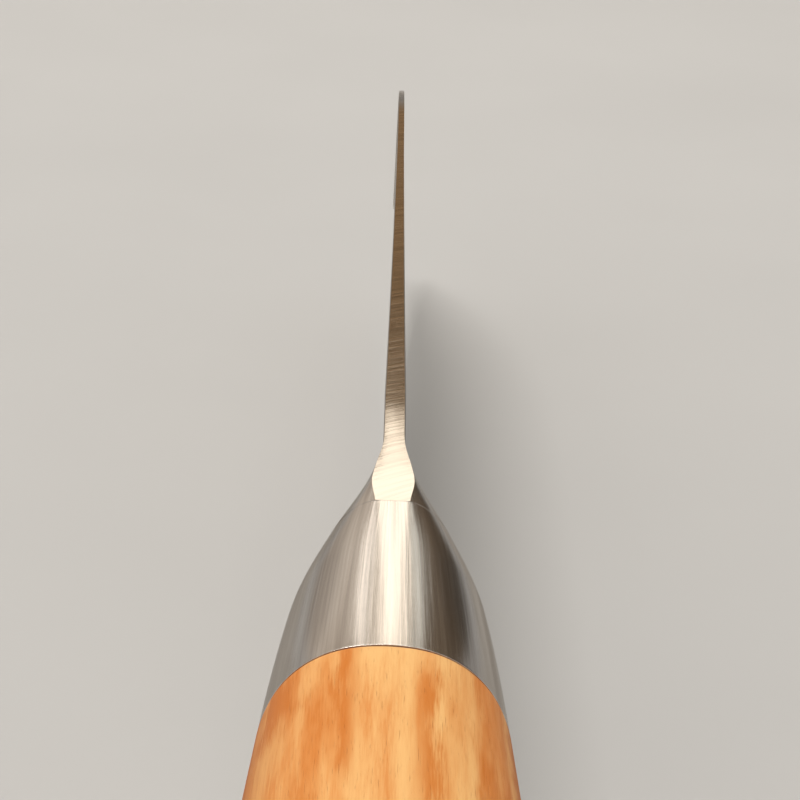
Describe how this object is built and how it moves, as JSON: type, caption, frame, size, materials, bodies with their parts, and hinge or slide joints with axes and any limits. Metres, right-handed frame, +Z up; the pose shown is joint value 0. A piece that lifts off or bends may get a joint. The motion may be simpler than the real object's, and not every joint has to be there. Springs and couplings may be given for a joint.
{
  "type": "santoku knife",
  "caption": "Santoku kitchen knife: tapered sheepsfoot blade with flared neck, polished steel bolster and smooth one-piece wooden handle on a hidden tang.",
  "frame": {"origin": "on the flat of the spine, straight above the heel, in the middle plane of the blade", "axes": "+X forward along the blade to the tip, +Y to the left side of the blade, +Z up from the edge to the spine"},
  "size_m": [0.3063, 0.0244, 0.046],
  "materials": {
    "blade_steel": "ground across the spine, satin along the faces",
    "bolster_steel": "polished lengthwise",
    "adhesive": "cured adhesive, dark",
    "handle_wood": "smooth, oiled satin"
  },
  "bodies": {
    "root": {"blade": "blade_steel", "bolster": "bolster_steel", "glue_bed": "adhesive", "handle": "handle_wood"}
  },
  "joints": []
}
